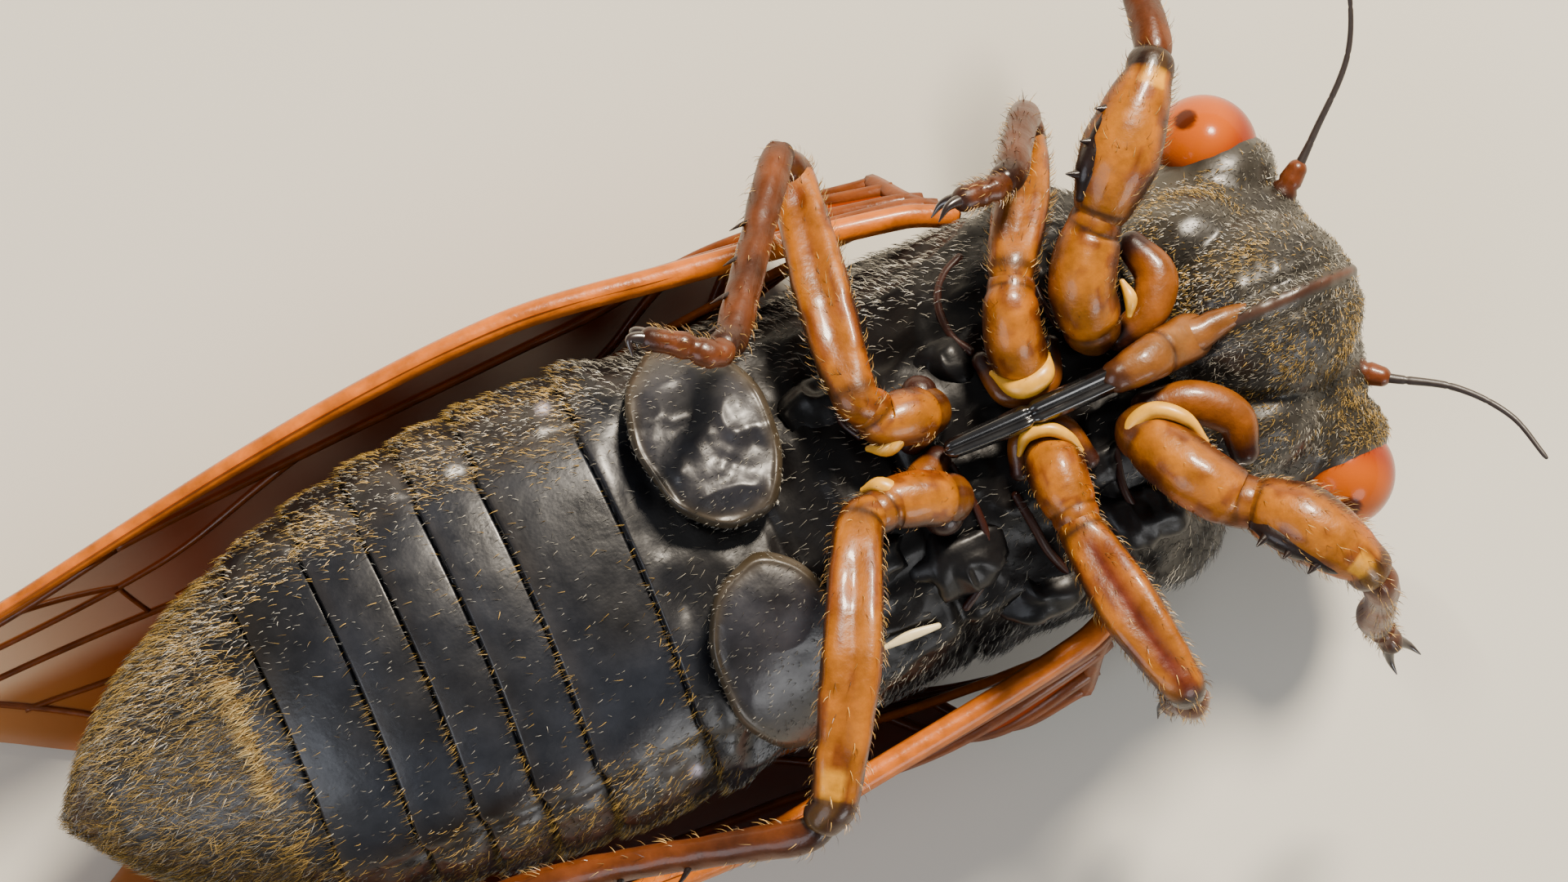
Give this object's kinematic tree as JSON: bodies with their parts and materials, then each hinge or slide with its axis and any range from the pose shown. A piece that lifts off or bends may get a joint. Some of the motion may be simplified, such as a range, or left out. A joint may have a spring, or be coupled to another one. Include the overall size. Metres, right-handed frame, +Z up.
{
  "type": "periodical cicada",
  "caption": "Life-size adult male periodical cicada lying on its back, belly and legs up, wings folded under it.",
  "frame": {"origin": "on the floor, in the middle of the small flat of the back (mesonotum) that the model rests on", "axes": "+X forward to the head along the body, +Y to the animal's own right, +Z up out of its belly"},
  "size_m": [0.0379, 0.0179, 0.011],
  "materials": {
    "black_shell": "satin black shell with gold and grey down",
    "leg_amber": "glossy amber-orange shell with dark streaks",
    "shin": "glossy red-brown shell",
    "foot": "red-brown shell with near-black claws",
    "eye": "glossy orange-red compound eye",
    "feeler": "dark brown bristle",
    "beak": "glossy black sheath, brown at the base",
    "wing_membrane": "amber-clear membrane with orange veins"
  },
  "bodies": {
    "root": {"forewing_left": "wing_membrane", "forewing_right": "wing_membrane", "hindwing_left": "wing_membrane", "hindwing_right": "wing_membrane", "leg_front_left_tarsus": "foot", "leg_front_right_tarsus": "foot", "leg_middle_left_tarsus": "foot", "leg_middle_right_tarsus": "foot", "leg_hind_left_tarsus": "foot", "leg_hind_right_tarsus": "foot", "leg_front_left_tibia": "shin", "leg_front_right_tibia": "shin", "leg_middle_left_tibia": "shin", "leg_middle_right_tibia": "shin", "leg_hind_left_tibia": "shin", "leg_hind_right_tibia": "shin", "leg_front_left_femur": "leg_amber", "leg_front_right_femur": "leg_amber", "leg_middle_left_femur": "leg_amber", "leg_middle_right_femur": "leg_amber", "leg_hind_left_femur": "leg_amber", "leg_hind_right_femur": "leg_amber", "leg_front_left_coxa": "leg_amber", "leg_front_right_coxa": "leg_amber", "leg_middle_left_coxa": "leg_amber", "leg_middle_right_coxa": "leg_amber", "leg_hind_left_coxa": "leg_amber", "leg_hind_right_coxa": "leg_amber", "eye_left": "eye", "eye_right": "eye", "antenna_left": "feeler", "antenna_right": "feeler", "rostrum": "beak", "operculum_left": "black_shell", "operculum_right": "black_shell", "head": "black_shell", "postclypeus": "black_shell", "prothorax": "black_shell", "mesothorax": "black_shell", "metathorax": "black_shell", "abdomen_base": "black_shell", "abdomen_middle": "black_shell", "abdomen_rear": "black_shell", "abdomen_tip": "black_shell"}
  },
  "joints": []
}
